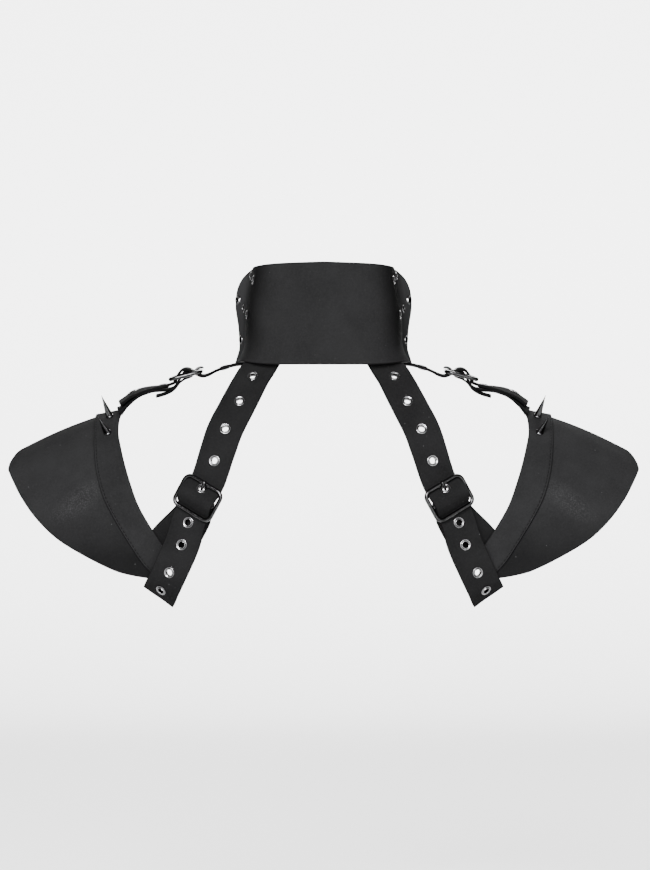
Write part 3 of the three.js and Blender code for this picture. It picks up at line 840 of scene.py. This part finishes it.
def makeStrap(name, ribbon, buckle, steps, count, trim=None):
    look = strapLook
    at = dented(ribbon.at, look["dent"], 17, 11)
    spots = eyeletSpots(ribbon, buckle, steps)
    lengths = edged(0, ribbon.length, round(ribbon.length / 1.6), 1)
    strap = wall(f"{name}Strap", at, lengths, edged(-1, 1, 22, 0.05), -look["wall"] / 2, look["wall"] / 2)
    cutters = drills(spots, look["holeRadius"]) + ([trim] if trim else [])
    pair(f"{name}_strap", cut(strap, cutters), strapLeather, "strap_leather")
    ring = eyeletMesh(f"{name}Eyelet", look["wall"], eyeletLook["radius"])
    fittings(f"{name}_eyelet", ring, eyeletNickel, "eyelet_metal", spots, count)


# The chape has a slot for the prong's curl.
def makeChape(name, ribbon, buckle):
    look = strapLook
    half = buckleLook["prong"] + 0.8
    slot = block("slot", buckle.at, (-6, -half, -6), (5.5, half, 6))
    lengths = edged(0, ribbon.length, round(ribbon.length / 1.4), 1)
    chape = wall(f"{name}Chape", ribbon.at, lengths, edged(-1, 1, 20, 0.05),
                 -look["chapeWall"] / 2, look["chapeWall"] / 2, 0.4)
    pair(f"{name}_chape", cut(chape, [slot]), chapeLeather, "chape_leather")


# Across a strap on the back, from how steeply it runs seen from behind and how far its
# outer edge turns forward, in degrees.
def backAcross(steep, turn):
    a, b = math.radians(steep), math.radians(turn)
    return Vector((math.sin(a) * math.cos(b), math.sin(b), math.cos(a) * math.cos(b)))


# out | back | down | steepness | turn of the outer edge
def backStations(rows):
    return [(spotOn(out, back, down), backAcross(steep, turn), strapLook["width"] / 2, 0)
            for out, back, down, steep, turn in rows]


# Across a shoulder strap whose back edge rolls down, in degrees.
def overAcross(roll):
    return Vector((0, math.cos(math.radians(roll)), math.sin(math.radians(roll))))


# out | down | roll of the back edge downward | sag / width | width / width
def overStations(rows):
    return [(
        spotOn(out, 0, down), overAcross(roll),
        (width[0] if width else 1) * strapLook["width"] / 2, sag * strapLook["width"],
    ) for out, down, roll, sag, *width in rows]


backBuckle = BuckleFrame(spotOn(0.188, 1.135, 0.627), Vector((0.46, 0.1, -0.85)), backAcross(53.5, 17))
backStrap = Ribbon([
    *backStations([
        (-0.123, 0.404, -0.096, 62, 39),
        (-0.097, 0.489, -0.043, 62, 39),
        (-0.067, 0.598, 0.012, 62, 37),
        (-0.031, 0.742, 0.072, 62.5, 28),
        (0.021, 0.91, 0.187, 63, 19),
        (0.077, 1.039, 0.313, 63, 14),
        (0.108, 1.103, 0.416, 61, 15),
    ]),
    *inBuckle(backBuckle, strapInBuckle, -0.06),
    *backStations([
        (0.252, 1.039, 0.838, 67, 14),
        (0.301, 1.006, 0.963, 65, 15),
        (0.334, 0.91, 1.041, 65, 18),
        (0.354, 0.753, 1.086, 66, 20),
    ]),
])
# steps from the prong's hole to each eyelet, as shares of the strap's width
backEyelets = [-3.62, -2.74, -1.83, -0.9, 0, 1.17, 1.81, 2.65, 3.27]
backChape = Ribbon([
    *inBuckle(backBuckle, chapeInBuckle),
    *backStations([(0.322, 0.82, 0.83, 58, 10), (0.356, 0.674, 0.895, 57, 8)]),
])

overBuckle = BuckleFrame(spotOn(0.254, 0, 0.0545), Vector((0.968, 0, -0.25)), overAcross(3))
overStrap = Ribbon([
    *overStations([(-0.008, 0.002, 0, 0), (0.042, 0.005, 0, 0), (0.091, 0.019, 1, 0), (0.133, 0.037, 2, 0)]),
    *inBuckle(overBuckle, strapInBuckle),
    *overStations([
        (0.406, 0.115, 6, 0.03),
        (0.447, 0.127, 8, 0.032),
        (0.485, 0.145, 10, 0.029),
        (0.511, 0.167, 11, 0.029),
        (0.534, 0.187, 12, 0.029),
    ]),
])
overEyelets = [-0.92, 0, 1.12, 2.0]
overChape = Ribbon([
    *inBuckle(overBuckle, chapeInBuckle, sag=-1.4),
    *overStations([
        (0.39, 0.132, 5, -0.04),
        (0.428, 0.144, 6, -0.03),
        (0.462, 0.157, 7, 0.01),
        (0.492, 0.176, 6, 0.071),
        (0.515, 0.196, 3, 0.114, 1.02),
        (0.542, 0.211, 0, 0.214, 1.12),
    ]),
])

# the back strap's top end is cut level, just under the collar's lower edge
strapTop = -0.6
trim = block("trim", lambda *place: Vector(place), (-40, -160, strapTop), (160, 40, strapTop + 40))
makeStrap("back", backStrap, backBuckle, backEyelets, 9, trim)
makeChape("back", backChape, backBuckle)
makeBuckle("back", backBuckle, buckleLook)
print("back straps made")
makeStrap("shoulder", overStrap, overBuckle, overEyelets, 4)
makeChape("shoulder", overChape, overBuckle)
makeBuckle("shoulder", overBuckle, buckleLook)
print("shoulder straps made")


# Studio: a pale floor swept up behind, a pale sky and soft lamps.
studioLook = {
    "floorHeight": -0.62, "sweepFrom": 2.6, "sweepRadius": 1.2, "halfWidth": 1.6,
    "floorTone": 0.88, "sky": 0.4, "cameraX": 0.001455, "cameraY": -3.06,
    "cameraZ": -0.0708, "lens": 128, "film": 36,
}
# name | towards the lamp | strength | width of its soft disc in degrees
lamps = [
    ("keyLamp", (-0.2, -0.9, 0.36), 13, 26),
    ("fillLamp", (0.3, -0.95, 0.1), 4, 40),
    ("frontLamp", (0.15, 0.66, 0.75), 6, 35),
]


def makeStudio(look):
    low, turn, radius = look["floorHeight"], look["sweepFrom"], look["sweepRadius"]
    section = [(-5, low), (turn, low)]
    section += [(turn + radius * math.sin(math.radians(t)), low + radius * (1 - math.cos(math.radians(t))))
                for t in range(6, 91, 6)]
    section.append((turn + radius, 2.6))
    vertices = [Vector((x, y, z)) / mm for y, z in section
                for x in (-look["halfWidth"], look["halfWidth"])]
    faces = [(2 * i, 2 * i + 1, 2 * i + 3, 2 * i + 2) for i in range(len(section) - 1)]
    mesh = bpy.data.meshes.new("studioFloor")
    mesh.from_pydata([v * mm for v in vertices], [], faces)
    mesh.shade_smooth()
    floor = bpy.data.objects.new("studioFloor", mesh)
    bpy.context.scene.collection.objects.link(floor)
    paint, shader, _ = shaded("paleFloor", {"Specular IOR Level": 0.1, "Roughness": 0.9})
    shader.inputs["Base Color"].default_value = (look["floorTone"],) * 3 + (1,)
    mesh.materials.append(paint)

    world = bpy.data.worlds.new("paleSky")
    world.use_nodes = True
    world.node_tree.nodes["Background"].inputs["Color"].default_value = (1, 1, 1, 1)
    world.node_tree.nodes["Background"].inputs["Strength"].default_value = look["sky"]
    bpy.context.scene.world = world

    for name, towards, strength, disc in lamps:
        lamp = bpy.data.lights.new(name, "SUN")
        lamp.energy, lamp.angle = strength, math.radians(disc)
        made = bpy.data.objects.new(name, lamp)
        made.rotation_euler = Vector(towards).to_track_quat("Z", "Y").to_euler()
        bpy.context.scene.collection.objects.link(made)

    lens = bpy.data.cameras.new("backView")
    lens.sensor_fit, lens.sensor_height, lens.lens = "VERTICAL", look["film"], look["lens"]
    camera = bpy.data.objects.new("backView", lens)
    camera.location = (look["cameraX"], look["cameraY"], look["cameraZ"])
    camera.rotation_euler = (math.pi / 2, 0, 0)
    bpy.context.scene.collection.objects.link(camera)
    bpy.context.scene.camera = camera


makeStudio(studioLook)
print("studio made")
